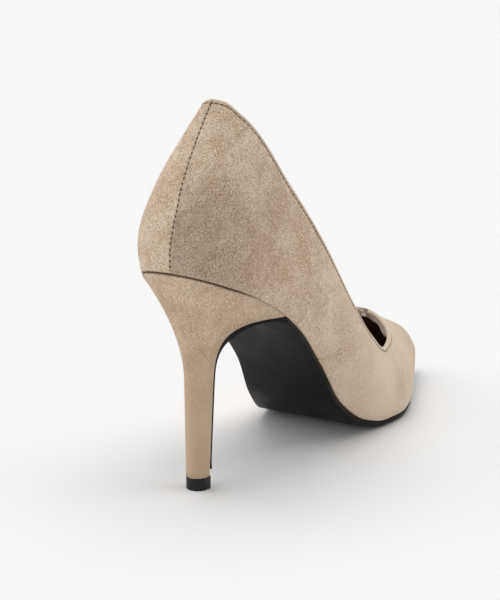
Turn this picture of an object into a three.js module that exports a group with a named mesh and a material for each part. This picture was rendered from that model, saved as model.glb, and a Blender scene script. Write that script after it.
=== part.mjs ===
// A women's stiletto court shoe for the right foot, suede covered, standing empty on its sole.
// Millimetres. +X runs to the toe, +Y to the wearer's left, which is the inner side of this shoe,
// and +Z up. The origin is the centre of the heel's top piece on the floor.
// The feather line is the edge all round the shoe where the upper meets the sole and the heel.
import * as THREE from 'three';
import { mergeVertices } from 'three/addons/utils/BufferGeometryUtils.js';

// Lengths and heights
const shoeLength = 229;
const heelOverhang = 22;
const heelHeight = 93.4;
const backHeight = 64.5;
const sideHeight = 37.8;
const vampLength = 65;
const vampHeight = 43.5;
const waistHeight = 92;
const toeSpring = 6.5;
const toeSetback = 6;

// Widths and plan shape
const seatWidth = 43;
const ballWidth = 67;
const toeSwing = 11;
const backRound = 25.5;
const backShift = -0.7;
const innerCurve = 1.9;
const toeRound = 7;

// How the back leans forward above the seat
const backLean = 34;
const heelBulge = 1.2;

// Thicknesses
const upperWall = 1.8;
const insoleThickness = 2.4;
const soleThickness = 2.6;
const flapThickness = 1.5;
const gap = 0.3;

// Heel
const breastAt = 55;
const stemWidth = 9.6;
const stemFront = 1.9;
const stemBack = 4.7;
const stemFlare = 0.5;
const stemFrontFlare = 2.6;
const topPieceHeight = 5.2;
const topPieceFront = 3.1;
const flapEndHeight = 8;
const cornerRoom = 1;

// Colours
const suede = new THREE.MeshStandardMaterial({ color: 0xbaa38f, roughness: 0.95, metalness: 0 });
const heelSuede = new THREE.MeshStandardMaterial({ color: 0xae9680, roughness: 0.95, metalness: 0 });
const lining = new THREE.MeshStandardMaterial({ color: 0x736150, roughness: 0.7, metalness: 0 });
const blackSole = new THREE.MeshStandardMaterial({ color: 0x1b1b1d, roughness: 0.4, metalness: 0 });
const blackRubber = new THREE.MeshStandardMaterial({ color: 0x141415, roughness: 0.55, metalness: 0 });

// One row for each section of the last.
// at: share of shoeLength from the back. rise: share of the heel's height over the tread.
// spring: share of toeSpring, in the forepart rows. right, left: half widths of the feather line,
// as shares of half of seatWidth in the rear rows and half of ballWidth in the forepart rows.
// tuck: how far the wall swells out past the feather line, swell: over what height, both as
// shares of the same half width. crown: height over the feather line where the two sides would
// meet, as a share of waistHeight in the rear rows and of vampHeight in the forepart rows.
// full: the power of the section's curve, in the rear rows. The forepart's are ellipses.
const rearSections = [
  { at: 0, rise: 1, right: 0.95, left: 1.03, tuck: 0.16, swell: 0.8, crown: 0.77, full: 1.75 },
  { at: 0.06, rise: 0.935, right: 0.965, left: 1.02, tuck: 0.18, swell: 0.8, crown: 0.81, full: 1.75 },
  { at: 0.13, rise: 0.863, right: 0.99, left: 1.02, tuck: 0.215, swell: 0.85, crown: 0.905, full: 1.78 },
  { at: 0.22, rise: 0.752, right: 0.99, left: 1, tuck: 0.265, swell: 0.95, crown: 1.015, full: 1.85 },
  { at: 0.29, rise: 0.624, right: 1, left: 0.975, tuck: 0.355, swell: 1.1, crown: 1.04, full: 1.95 },
  { at: 0.37, rise: 0.423, right: 0.95, left: 1.01, tuck: 0.49, swell: 1.3, crown: 0.98, full: 2 },
];
const foreSections = [
  { at: 0.45, rise: 0.172, spring: 0, right: 0.63, left: 0.775, tuck: 0.35, swell: 0.84, crown: 1.88 },
  { at: 0.53, rise: 0.038, spring: 0, right: 0.73, left: 0.93, tuck: 0.26, swell: 0.72, crown: 1.58 },
  { at: 0.6, rise: 0, spring: 0, right: 0.82, left: 1.03, tuck: 0.155, swell: 0.54, crown: 1.32 },
  { at: 0.66, rise: 0, spring: 0, right: 0.865, left: 1.095, tuck: 0.105, swell: 0.42, crown: 1.16 },
  { at: 0.72, rise: 0, spring: 0.04, right: 0.8, left: 1.1, tuck: 0.075, swell: 0.36, crown: 1 },
  { at: 0.8, rise: 0, spring: 0.2, right: 0.62, left: 0.95, tuck: 0.055, swell: 0.3, crown: 0.8 },
  { at: 0.88, rise: 0, spring: 0.46, right: 0.43, left: 0.63, tuck: 0.05, swell: 0.27, crown: 0.605 },
  { at: 0.94, rise: 0, spring: 0.72, right: 0.29, left: 0.38, tuck: 0.045, swell: 0.21, crown: 0.44 },
  { at: 0.98, rise: 0, spring: 0.91, right: 0.21, left: 0.25, tuck: 0.04, swell: 0.18, crown: 0.29 },
  { at: 1, rise: 0, spring: 1, right: 0.2, left: 0.21, tuck: 0.03, swell: 0.15, crown: 0.19 },
];
// The topline. at: share of the way from the back to the throat. height: share of the way from
// sideHeight up to the top of the back. The last row, the throat, lies on the vamp's own ridge.
const topline = [
  { at: 0.00, height: 1.000 },
  { at: 0.03, height: 0.991 },
  { at: 0.06, height: 0.978 },
  { at: 0.09, height: 0.961 },
  { at: 0.13, height: 0.936 },
  { at: 0.20, height: 0.879 },
  { at: 0.33, height: 0.711 },
  { at: 0.47, height: 0.494 },
  { at: 0.60, height: 0.269 },
  { at: 0.72, height: 0.094 },
  { at: 0.83, height: 0.000 },
  { at: 0.92, height: 0.026 },
];

// Shape constants without a length
const ellipse = 2;
const innerTuck = 0.55;
const innerCurvePower = 1.25;
const backPower = 2.27;
const leanPower = 1.6;
const bulgeTop = 0.38;
const leanReach = 0.5;
const swingFrom = 0.48;
const swingPower = 1.6;
const setbackReach = 3;
const wallBuffer = 1.15;
const stemStraight = 0.3;
const stemFrontShare = 0.94;
const flareFrontEnd = 0.5;
const backFlare = { reach: 0.5, start: 1, power: 1.85 };
const frontFlare = { reach: 0.42, start: 0.45, power: 2.6 };
const waistThinning = 1.6;

// Numbers of steps in the meshes
const backSteps = 9;
const quarterSteps = 20;
const throatSteps = 7;
const vampSteps = 7;
const toeSteps = 7;
const wallRows = 11;
const heelMeridians = 12;
const heelLevels = 20;
const flapSteps = 40;
const heelLevelPower = 2.4;
const flapStepPower = 2.2;

const treadTop = soleThickness + gap;
const treadRows = foreSections.filter((row) => row.rise === 0 && row.spring === 0);
const treadEnds = treadRows.map((row) => row.at * shoeLength);
const throatAt = shoeLength - vampLength;

// A smooth curve through rows, which never overshoots them.
function curveThrough(xs, ys) {
  const count = xs.length;
  const widths = [];
  const slopes = [];
  for (let i = 0; i < count - 1; i += 1) {
    widths.push(xs[i + 1] - xs[i]);
    slopes.push((ys[i + 1] - ys[i]) / widths[i]);
  }
  const tangents = [slopes[0]];
  for (let i = 1; i < count - 1; i += 1) {
    const before = 2 * widths[i] + widths[i - 1];
    const after = widths[i] + 2 * widths[i - 1];
    const turns = slopes[i - 1] * slopes[i] <= 0;
    tangents.push(turns ? 0 : (before + after) / (before / slopes[i - 1] + after / slopes[i]));
  }
  tangents.push(slopes[count - 2]);
  return (x) => {
    const inside = Math.min(Math.max(x, xs[0]), xs[count - 1]);
    let i = 0;
    while (i < count - 2 && inside > xs[i + 1]) i += 1;
    const t = (inside - xs[i]) / widths[i];
    const t2 = t * t;
    const t3 = t2 * t;
    return (2 * t3 - 3 * t2 + 1) * ys[i]
      + (t3 - 2 * t2 + t) * widths[i] * tangents[i]
      + (3 * t2 - 2 * t3) * ys[i + 1]
      + (t3 - t2) * widths[i] * tangents[i + 1];
  };
}

const clamp01 = (t) => Math.min(Math.max(t, 0), 1);
const mix = (a, b, t) => a + (b - a) * t;
const smooth = (t) => t * t * (3 - 2 * t);

// The rows in millimetres, as curves along the shoe
const sections = [
  ...rearSections.map((row) => ({ ...row, spring: 0, half: seatWidth / 2, top: waistHeight })),
  ...foreSections.map((row) => ({ ...row, full: ellipse, half: ballWidth / 2, top: vampHeight })),
];
const sectionPlaces = sections.map((row) => row.at * shoeLength);
const alongShoe = (length) => curveThrough(sectionPlaces, sections.map(length));
const heelRise = heelHeight - treadTop;
const featherHeight = alongShoe((row) => treadTop + row.rise * heelRise + row.spring * toeSpring);
const rightHalf = alongShoe((row) => row.right * row.half);
const leftHalf = alongShoe((row) => row.left * row.half);
const tuckAt = alongShoe((row) => row.tuck * row.half);
const swellAt = alongShoe((row) => row.swell * row.half);
const fullAt = alongShoe((row) => row.full);
const crownAt = alongShoe((row) => row.crown * row.top);
const backTop = heelHeight + backHeight;
const throatTop = featherHeight(throatAt) + crownAt(throatAt);
const toplineHeight = curveThrough(
  [...topline.map((row) => row.at * throatAt), throatAt],
  [...topline.map((row) => mix(sideHeight, backTop, row.height)), throatTop],
);

// How much of its full width the plan has at s: round at the back and at the toe.
function endRound(s) {
  const back = clamp01(s / backRound);
  const toe = clamp01((shoeLength - s) / toeRound);
  return (1 - (1 - back) ** backPower) ** (1 / backPower) * Math.sqrt(1 - (1 - toe) ** 2);
}

// The middle of the plan, which swings to the inner side toward the toe.
function centreLine(s) {
  const fore = clamp01((s / shoeLength - swingFrom) / (1 - swingFrom));
  const rear = clamp01(1 - s / (leanReach * shoeLength));
  return toeSwing * fore ** swingPower + backShift * rear;
}

// How far a point at height z and distance s from the back leans forward.
function leanAt(z, s) {
  const up = (z - heelHeight) / backHeight;
  const lean = backLean * Math.max(up, 0) ** leanPower;
  const bulge = heelBulge * Math.sin(Math.PI * clamp01(up / bulgeTop));
  return (lean - bulge) * clamp01(1 - s / (leanReach * shoeLength)) ** 2;
}

// How far the inner side's wall bellies out low down, and comes in near its top, behind the waist.
function innerCurveAt(s, share) {
  const rear = clamp01(1 - s / (leanReach * shoeLength));
  return innerCurve * Math.sin(2 * Math.PI * share ** innerCurvePower) * rear;
}

// A point of the upper's outside. side is -1 on the right and 1 on the left.
function wallPoint(side, s, height) {
  const crown = crownAt(s);
  const share = Math.min(height / crown, 1);
  const full = fullAt(s);
  const across = (1 - share ** full) ** (1 / full);
  const tuck = tuckAt(s) * (side < 0 ? 1 : innerTuck);
  const under = clamp01(1 - height / swellAt(s)) ** 2;
  const half = side < 0 ? rightHalf(s) : leftHalf(s);
  const curve = side < 0 ? 0 : innerCurveAt(s, share);
  const y = ((half + tuck) * across - tuck * under + curve) * endRound(s);
  const z = featherHeight(s) + height;
  const nearToe = clamp01(1 - (shoeLength - s) / (setbackReach * toeRound));
  const back = toeSetback * share ** 2 * nearToe ** 2;
  return new THREE.Vector3(s - heelOverhang + leanAt(z, s) - back, centreLine(s) + side * y, z);
}

// The height of the wall over the feather line, which is the ridge's in front of the throat.
function wallHeight(s) {
  if (s >= throatAt) return crownAt(s);
  return Math.min(toplineHeight(s) - featherHeight(s), crownAt(s));
}

const featherPoint = (side, s) => wallPoint(side, s, 0);

// Distances from the back at which the upper has a column of vertices.
function upperStations() {
  const stations = [];
  const step = (count, place) => {
    for (let i = 0; i < count; i += 1) stations.push(place(i / count));
  };
  const quarterEnd = throatAt - vampLength / 4;
  const toeStart = shoeLength - toeRound;
  step(backSteps, (t) => backRound * (1 - Math.cos(t * Math.PI / 2)));
  step(quarterSteps, (t) => mix(backRound, quarterEnd, t));
  step(throatSteps, (t) => throatAt - (throatAt - quarterEnd) * (1 - t) ** 2);
  step(vampSteps, (t) => mix(throatAt, toeStart, t));
  step(toeSteps, (t) => toeStart + toeRound * Math.sin(t * Math.PI / 2));
  stations.push(...treadEnds, shoeLength);
  return stations.sort((a, b) => a - b);
}

// Makes a mesh geometry from a list of points and a list of corner triples.
function solidFrom(points, faces) {
  const geometry = new THREE.BufferGeometry();
  const numbers = points.flatMap((p) => [p.x, p.y, p.z]);
  geometry.setAttribute('position', new THREE.Float32BufferAttribute(numbers, 3));
  geometry.setIndex(faces.flat());
  const merged = mergeVertices(geometry, 1e-3);
  const index = merged.getIndex().array;
  const kept = [];
  for (let i = 0; i < index.length; i += 3) {
    const [a, b, c] = [index[i], index[i + 1], index[i + 2]];
    if (a !== b && b !== c && c !== a) kept.push(a, b, c);
  }
  merged.setIndex(kept);
  merged.computeVertexNormals();
  return merged;
}

// The two triangles of a four-cornered face, split along a to c.
const quad = (a, b, c, d) => [[a, b, c], [a, c, d]];

// The upper's outside as a grid: one column at each station, right side from toe to back and
// then left side from back to toe.
function upperColumns() {
  const stations = upperStations();
  const column = (side, s) => {
    const top = Math.asin(clamp01(wallHeight(s) / crownAt(s)));
    const points = [];
    for (let row = 0; row <= wallRows; row += 1) {
      points.push(wallPoint(side, s, crownAt(s) * Math.sin(top * row / wallRows)));
    }
    return points;
  };
  const right = [...stations].reverse().map((s) => ({ s, points: column(-1, s) }));
  const left = stations.slice(1).map((s) => ({ s, points: column(1, s) }));
  return [...right, ...left];
}

function makeUpper() {
  const columns = upperColumns();
  const perColumn = wallRows + 1;
  const outerPoints = columns.flatMap((column) => column.points);
  const at = (column, row) => column * perColumn + row;
  const sheet = [];
  for (let column = 0; column < columns.length - 1; column += 1) {
    for (let row = 0; row < wallRows; row += 1) {
      const [low, next] = [at(column, row), at(column + 1, row)];
      sheet.push(...quad(low, low + 1, next + 1, next));
    }
  }
  const { points, normals, joined } = joinSheet(outerPoints, sheet);
  const faces = [];
  const offset = points.length;
  for (const [a, b, c] of joined.faces) {
    faces.push([a, b, c]);
    faces.push([a + offset, c + offset, b + offset]);
  }
  for (const [a, b] of joined.rims) faces.push(...quad(b, a, a + offset, b + offset));
  const inner = points.map((p, i) => p.clone().addScaledVector(normals[i], -upperWall));
  return solidFrom([...points, ...inner], faces);
}

// Joins a sheet's vertices that lie in one place, and finds its vertex normals and open edges.
function joinSheet(points, faces) {
  const keyOf = (p) => [p.x, p.y, p.z].map((value) => Math.round(value * 1e4)).join(' ');
  const places = new Map();
  const kept = [];
  const number = points.map((p) => {
    const key = keyOf(p);
    if (!places.has(key)) {
      places.set(key, kept.length);
      kept.push(p);
    }
    return places.get(key);
  });
  const whole = faces.map((face) => face.map((corner) => number[corner]))
    .filter(([a, b, c]) => a !== b && b !== c && c !== a);
  const normals = kept.map(() => new THREE.Vector3());
  const edges = new Map();
  for (const face of whole) {
    const [a, b, c] = face.map((corner) => kept[corner]);
    const normal = b.clone().sub(a).cross(c.clone().sub(a));
    for (let i = 0; i < 3; i += 1) {
      normals[face[i]].add(normal);
      edges.set(`${face[i]} ${face[(i + 1) % 3]}`, [face[i], face[(i + 1) % 3]]);
    }
  }
  normals.forEach((normal) => normal.normalize());
  const rims = [...edges.values()].filter(([a, b]) => !edges.has(`${b} ${a}`));
  return { points: kept, normals, joined: { faces: whole, rims } };
}

// The feather line's plan, moved inward by a margin, with the ends kept round.
function insetOutline(stations, margin) {
  const ahead = 0.5;
  return stations.map((s) => {
    const edges = [-1, 1].map((side) => {
      const here = featherPoint(side, s);
      const before = featherPoint(side, Math.max(s - ahead, 0));
      const after = featherPoint(side, Math.min(s + ahead, shoeLength));
      const along = new THREE.Vector2(after.x - before.x, after.y - before.y).normalize();
      const inward = new THREE.Vector2(side * along.y, -side * along.x);
      if (s <= 0) inward.set(1, 0);
      if (s >= shoeLength) inward.set(-1, 0);
      return new THREE.Vector2(here.x + inward.x * margin, here.y + inward.y * margin);
    });
    return { right: edges[0], left: edges[1] };
  });
}

// A sheet between two rows of rungs: each rung has a right and a left end, above and below.
function solidBetween(rungs) {
  const points = rungs.flatMap((rung) => [rung.rightTop, rung.leftTop, rung.rightBase, rung.leftBase]);
  const faces = [];
  for (let i = 0; i < rungs.length - 1; i += 1) {
    const [rightTop, leftTop, rightBase, leftBase] = [0, 1, 2, 3].map((corner) => 4 * i + corner);
    const next = 4;
    faces.push(...quad(rightTop, rightTop + next, leftTop + next, leftTop));
    faces.push(...quad(rightBase, leftBase, leftBase + next, rightBase + next));
    faces.push(...quad(rightTop, rightBase, rightBase + next, rightTop + next));
    faces.push(...quad(leftTop, leftTop + next, leftBase + next, leftBase));
  }
  const last = 4 * (rungs.length - 1);
  faces.push(...quad(0, 1, 3, 2));
  faces.push(...quad(last, last + 2, last + 3, last + 1));
  return solidFrom(points, faces);
}

function makeInsole() {
  const stations = upperStations();
  const outline = insetOutline(stations, upperWall * wallBuffer + gap);
  const heightAt = (x) => featherHeight(x + heelOverhang);
  const rungs = outline.map(({ right, left }) => {
    const baseRight = heightAt(right.x);
    const baseLeft = heightAt(left.x);
    return {
      rightTop: new THREE.Vector3(right.x, right.y, baseRight + insoleThickness),
      leftTop: new THREE.Vector3(left.x, left.y, baseLeft + insoleThickness),
      rightBase: new THREE.Vector3(right.x, right.y, baseRight),
      leftBase: new THREE.Vector3(left.x, left.y, baseLeft),
    };
  });
  return solidBetween(rungs);
}

// The heel's plan at its seat and at its foot, by the share g round one side of it,
// from the breast corner at 0 to the middle of the back at 1.
const seatStation = (g) => breastAt * (1 - Math.sin(g * Math.PI / 2));
const heelFoot = topPieceHeight + gap;

// The stem's outline at height z: flat at the breast, round at the back.
function stemOutline(side, g, z) {
  const flare = (z - heelFoot) / (heelHeight / 2 - heelFoot);
  const halfWidth = stemWidth / 2 + stemFlare * flare;
  const front = stemFront + stemFrontFlare * flare;
  if (g < stemStraight) {
    const t = g / stemStraight;
    return { x: mix(front, 0, t), y: side * halfWidth * mix(stemFrontShare, 1, smooth(t)) };
  }
  const turn = (g - stemStraight) / (1 - stemStraight) * Math.PI / 2;
  const back = stemBack + stemFlare * flare;
  return { x: -back * Math.sin(turn), y: side * halfWidth * Math.cos(turn) };
}

// How much of the way from the stem out to the seat the heel still is, a share down from it.
function flareShare(g, down) {
  const front = 1 - smooth(clamp01(g / flareFrontEnd));
  const reach = mix(backFlare.reach, frontFlare.reach, front);
  const start = mix(backFlare.start, frontFlare.start, front);
  const power = mix(backFlare.power, frontFlare.power, front);
  return (1 - Math.min(down / reach, 1) ** start) ** power;
}

// A unit vector square to the feather line in the side view, pointing up and away from the sole.
function featherNormal(s) {
  const ahead = 0.5;
  const rise = featherHeight(s + ahead) - featherHeight(s - ahead);
  return new THREE.Vector3(-rise, 0, 2 * ahead).normalize();
}

function heelPoint(side, g, down) {
  const s = seatStation(g);
  const seat = featherPoint(side, s).addScaledVector(featherNormal(s), -gap);
  const z = mix(seat.z, heelFoot, down);
  const stem = stemOutline(side, g, z);
  const share = flareShare(g, down);
  return new THREE.Vector3(mix(stem.x, seat.x, share), mix(stem.y, seat.y, share), z);
}

function makeHeel() {
  const round = [];
  for (let i = 0; i <= heelMeridians; i += 1) round.push({ side: -1, g: i / heelMeridians });
  for (let i = heelMeridians - 1; i >= 0; i -= 1) round.push({ side: 1, g: i / heelMeridians });
  const points = [];
  for (const { side, g } of round) {
    for (let level = 0; level <= heelLevels; level += 1) {
      points.push(heelPoint(side, g, (level / heelLevels) ** heelLevelPower));
    }
  }
  const perMeridian = heelLevels + 1;
  const at = (meridian, level) => meridian * perMeridian + level;
  const last = round.length - 1;
  const faces = [];
  for (let m = 0; m < last; m += 1) {
    for (let level = 0; level < heelLevels; level += 1) {
      faces.push(...quad(at(m, level), at(m + 1, level), at(m + 1, level + 1), at(m, level + 1)));
    }
  }
  for (let level = 0; level < heelLevels; level += 1) {
    faces.push(...quad(at(0, level), at(0, level + 1), at(last, level + 1), at(last, level)));
  }
  for (let m = 0; m < heelMeridians; m += 1) {
    const [here, next, over, overNext] = [m, m + 1, last - m, last - m - 1];
    const foot = (meridian) => at(meridian, heelLevels);
    faces.push(...quad(at(here, 0), at(over, 0), at(overNext, 0), at(next, 0)));
    faces.push(...quad(foot(here), foot(next), foot(overNext), foot(over)));
  }
  return solidFrom(points, faces);
}

// The sole's path in the side view, with its right and left edges: from the toe along the
// feather line to the heel's breast, and down the breast.
function solePath() {
  const stations = upperStations().filter((s) => s > breastAt + cornerRoom);
  const path = [breastAt + cornerRoom, ...stations].reverse()
    .map((s) => ({ right: featherPoint(-1, s), left: featherPoint(1, s) }));
  const flapEnd = 1 - (flapEndHeight - heelFoot) / (featherHeight(breastAt) - heelFoot);
  for (let i = 1; i <= flapSteps; i += 1) {
    const down = flapEnd * (i / flapSteps) ** flapStepPower;
    path.push({ right: heelPoint(-1, 0, down), left: heelPoint(1, 0, down) });
  }
  return path;
}

function makeOutsole() {
  const path = solePath();
  const sideView = path.map(({ right }) => new THREE.Vector2(right.x, right.z));
  const thinsFrom = featherHeight(breastAt * waistThinning);
  const rungs = path.map(({ right, left }, i) => {
    const before = sideView[Math.max(i - 1, 0)];
    const after = sideView[Math.min(i + 1, path.length - 1)];
    const along = after.clone().sub(before).normalize();
    const out = new THREE.Vector3(-along.y, 0, along.x);
    const onBreast = i >= path.length - flapSteps;
    const fore = onBreast ? 0 : smooth(clamp01(1 - right.z / thinsFrom));
    const thickness = mix(flapThickness, soleThickness, fore);
    const shift = (point, distance) => point.clone().addScaledVector(out, distance);
    return {
      rightTop: shift(right, gap),
      leftTop: shift(left, gap),
      rightBase: shift(right, gap + thickness),
      leftBase: shift(left, gap + thickness),
    };
  });
  return solidBetween(rungs.reverse());
}

function makeTopPiece() {
  const half = stemWidth / 2;
  const corner = half / 4;
  const outline = new THREE.Shape();
  outline.moveTo(0, half);
  outline.absellipse(0, 0, stemBack, half, Math.PI / 2, 3 * Math.PI / 2, false);
  outline.lineTo(topPieceFront - corner, -half);
  outline.absarc(topPieceFront - corner, -half + corner, corner, -Math.PI / 2, 0, false);
  outline.absarc(topPieceFront - corner, half - corner, corner, 0, Math.PI / 2, false);
  outline.closePath();
  const options = { depth: topPieceHeight, bevelEnabled: false, curveSegments: 8 };
  return new THREE.ExtrudeGeometry(outline, options);
}

const shoe = new THREE.Group();
function add(name, geometry, material) {
  const mesh = new THREE.Mesh(geometry, material);
  mesh.name = name;
  shoe.add(mesh);
}

add('upper', makeUpper(), suede);
add('insole', makeInsole(), lining);
add('outsole', makeOutsole(), blackSole);
add('heel', makeHeel(), heelSuede);
add('top_piece', makeTopPiece(), blackRubber);

export default shoe;
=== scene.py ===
import math

import bmesh
import bpy
import numpy as np
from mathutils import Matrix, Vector
from mathutils.bvhtree import BVHTree


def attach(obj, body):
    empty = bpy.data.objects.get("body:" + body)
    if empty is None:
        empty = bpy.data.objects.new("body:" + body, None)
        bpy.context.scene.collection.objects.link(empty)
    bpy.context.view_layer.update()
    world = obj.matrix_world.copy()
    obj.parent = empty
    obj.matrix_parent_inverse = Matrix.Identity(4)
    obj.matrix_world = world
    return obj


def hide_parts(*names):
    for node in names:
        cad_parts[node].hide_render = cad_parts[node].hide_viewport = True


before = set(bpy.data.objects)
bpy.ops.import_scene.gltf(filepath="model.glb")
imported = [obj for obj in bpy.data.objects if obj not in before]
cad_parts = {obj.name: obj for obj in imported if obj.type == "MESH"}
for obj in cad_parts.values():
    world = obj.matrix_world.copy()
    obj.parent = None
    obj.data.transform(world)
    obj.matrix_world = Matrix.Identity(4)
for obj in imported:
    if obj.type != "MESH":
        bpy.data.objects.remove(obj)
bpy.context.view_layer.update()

# A stiletto court shoe. The shoe's form is worked out in millimetres with the same rows as the CAD
# model's, and every piece is turned into metres when its mesh is made.
MM = 0.001

# The shoe's own sizes, millimetres
SHOE_LENGTH = 229
HEEL_OVERHANG = 22
HEEL_HEIGHT = 93.4
BACK_HEIGHT = 64.5
SIDE_HEIGHT = 37.8
VAMP_LENGTH = 65
VAMP_HEIGHT = 43.5
WAIST_HEIGHT = 92
TOE_SPRING = 6.5
TOE_SETBACK = 6
SEAT_WIDTH = 43
BALL_WIDTH = 67
TOE_SWING = 11
BACK_ROUND = 25.5
BACK_SHIFT = -0.7
INNER_CURVE = 1.9
TOE_ROUND = 7
BACK_LEAN = 34
HEEL_BULGE = 1.2
INSOLE_THICKNESS = 2.4
SOLE_THICKNESS = 2.6
FLAP_THICKNESS = 1.5
GAP = 0.3
BREAST_AT = 55
STEM_WIDTH = 9.6
STEM_FRONT = 1.9
STEM_BACK = 4.7
STEM_FLARE = 0.5
STEM_FRONT_FLARE = 2.6
TOP_PIECE_HEIGHT = 5.2
TOP_PIECE_FRONT = 3.1
FLAP_END_HEIGHT = 8
CORNER_ROOM = 1
INNER_TUCK = 0.55
INNER_CURVE_POWER = 1.25
BACK_POWER = 2.27
LEAN_POWER = 1.6
BULGE_TOP = 0.38
LEAN_REACH = 0.5
SWING_FROM = 0.48
SWING_POWER = 1.6
SETBACK_REACH = 3
STEM_STRAIGHT = 0.3
STEM_FRONT_SHARE = 0.94
FLARE_FRONT_END = 0.5
BACK_FLARE = (0.5, 1, 1.85)
FRONT_FLARE = (0.42, 0.45, 2.6)
WAIST_THINNING = 1.6
SLOPE_REACH = 0.5
FAR_AWAY = 1e9

TREAD_TOP = SOLE_THICKNESS + GAP
THROAT_AT = SHOE_LENGTH - VAMP_LENGTH
HEEL_FOOT = TOP_PIECE_HEIGHT + GAP

# One row for each section: place, rise, spring, right, left, tuck, swell, crown, full.
REAR_SECTIONS = (
    (0.00, 1.000, 0, 0.950, 1.030, 0.160, 0.80, 0.770, 1.75),
    (0.06, 0.935, 0, 0.965, 1.020, 0.180, 0.80, 0.810, 1.75),
    (0.13, 0.863, 0, 0.990, 1.020, 0.215, 0.85, 0.905, 1.78),
    (0.22, 0.752, 0, 0.990, 1.000, 0.265, 0.95, 1.015, 1.85),
    (0.29, 0.624, 0, 1.000, 0.975, 0.355, 1.10, 1.040, 1.95),
    (0.37, 0.423, 0, 0.950, 1.010, 0.490, 1.30, 0.980, 2.00),
)
FORE_SECTIONS = (
    (0.45, 0.172, 0.00, 0.630, 0.775, 0.350, 0.84, 1.880, 2),
    (0.53, 0.038, 0.00, 0.730, 0.930, 0.260, 0.72, 1.580, 2),
    (0.60, 0.000, 0.00, 0.820, 1.030, 0.155, 0.54, 1.320, 2),
    (0.66, 0.000, 0.00, 0.865, 1.095, 0.105, 0.42, 1.160, 2),
    (0.72, 0.000, 0.04, 0.800, 1.100, 0.075, 0.36, 1.000, 2),
    (0.80, 0.000, 0.20, 0.620, 0.950, 0.055, 0.30, 0.800, 2),
    (0.88, 0.000, 0.46, 0.430, 0.630, 0.050, 0.27, 0.605, 2),
    (0.94, 0.000, 0.72, 0.290, 0.380, 0.045, 0.21, 0.440, 2),
    (0.98, 0.000, 0.91, 0.210, 0.250, 0.040, 0.18, 0.290, 2),
    (1.00, 0.000, 1.00, 0.200, 0.210, 0.030, 0.15, 0.190, 2),
)
# Share of the way to the throat, and height between the lowest side and the top of the back.
TOPLINE = (
    (0.00, 1.000), (0.03, 0.991), (0.06, 0.978), (0.09, 0.961), (0.13, 0.936), (0.20, 0.879),
    (0.33, 0.711), (0.47, 0.494), (0.60, 0.269), (0.72, 0.094), (0.83, 0.000), (0.92, 0.026),
)


# The shoe's form
def clamp01(t):
    return np.clip(t, 0, 1)


def mix(a, b, t):
    return a + (b - a) * t


def smooth(t):
    t = clamp01(t)
    return t * t * (3 - 2 * t)


def curve_through(xs, ys):
    """A smooth curve through rows, which never overshoots them."""
    xs = np.array(xs, float)
    ys = np.array(ys, float)
    widths = np.diff(xs)
    slopes = np.diff(ys) / widths
    tangents = [slopes[0]]
    for i in range(1, len(xs) - 1):
        before = 2 * widths[i] + widths[i - 1]
        after = widths[i] + 2 * widths[i - 1]
        if slopes[i - 1] * slopes[i] <= 0:
            tangents.append(0)
        else:
            tangents.append((before + after) / (before / slopes[i - 1] + after / slopes[i]))
    tangents = np.array(tangents + [slopes[-1]])

    def at(x):
        x = np.clip(x, xs[0], xs[-1])
        i = np.clip(np.searchsorted(xs, x) - 1, 0, len(widths) - 1)
        t = (x - xs[i]) / widths[i]
        t2, t3 = t * t, t * t * t
        return ((2 * t3 - 3 * t2 + 1) * ys[i] + (t3 - 2 * t2 + t) * widths[i] * tangents[i]
                + (3 * t2 - 2 * t3) * ys[i + 1] + (t3 - t2) * widths[i] * tangents[i + 1])

    return at


def along_shoe(column, rear_size, fore_size):
    """One column of the section rows, as a curve along the shoe in millimetres."""
    rows = [(row[0], row[column] * rear_size) for row in REAR_SECTIONS]
    rows += [(row[0], row[column] * fore_size) for row in FORE_SECTIONS]
    return curve_through([place * SHOE_LENGTH for place, _ in rows], [value for _, value in rows])


rise_at = along_shoe(1, HEEL_HEIGHT - TREAD_TOP, HEEL_HEIGHT - TREAD_TOP)
spring_at = along_shoe(2, TOE_SPRING, TOE_SPRING)
right_half, left_half, tuck_at, swell_at = (
    along_shoe(column, SEAT_WIDTH / 2, BALL_WIDTH / 2) for column in (3, 4, 5, 6))
crown_at = along_shoe(7, WAIST_HEIGHT, VAMP_HEIGHT)
full_at = along_shoe(8, 1, 1)


def feather_height(s):
    return TREAD_TOP + rise_at(s) + spring_at(s)


def end_round(s):
    """How much of its full width the plan has at s: round at the back and at the toe."""
    back = clamp01(s / BACK_ROUND)
    toe = clamp01((SHOE_LENGTH - s) / TOE_ROUND)
    return (1 - (1 - back) ** BACK_POWER) ** (1 / BACK_POWER) * np.sqrt(1 - (1 - toe) ** 2)


def rear_share(s):
    """1 at the back, falling to nothing as far along as the lean reaches."""
    return clamp01(1 - s / (LEAN_REACH * SHOE_LENGTH))


def centre_line(s):
    fore = clamp01((s / SHOE_LENGTH - SWING_FROM) / (1 - SWING_FROM))
    return TOE_SWING * fore ** SWING_POWER + BACK_SHIFT * rear_share(s)


def lean_at(z, s):
    up = (z - HEEL_HEIGHT) / BACK_HEIGHT
    lean = BACK_LEAN * np.maximum(up, 0) ** LEAN_POWER
    bulge = HEEL_BULGE * np.sin(math.pi * clamp01(up / BULGE_TOP))
    return (lean - bulge) * rear_share(s) ** 2


def inner_curve_at(s, share):
    """How far the inner side bellies out low down and comes in near its top, behind the waist."""
    return INNER_CURVE * np.sin(2 * math.pi * share ** INNER_CURVE_POWER) * rear_share(s)


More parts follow.
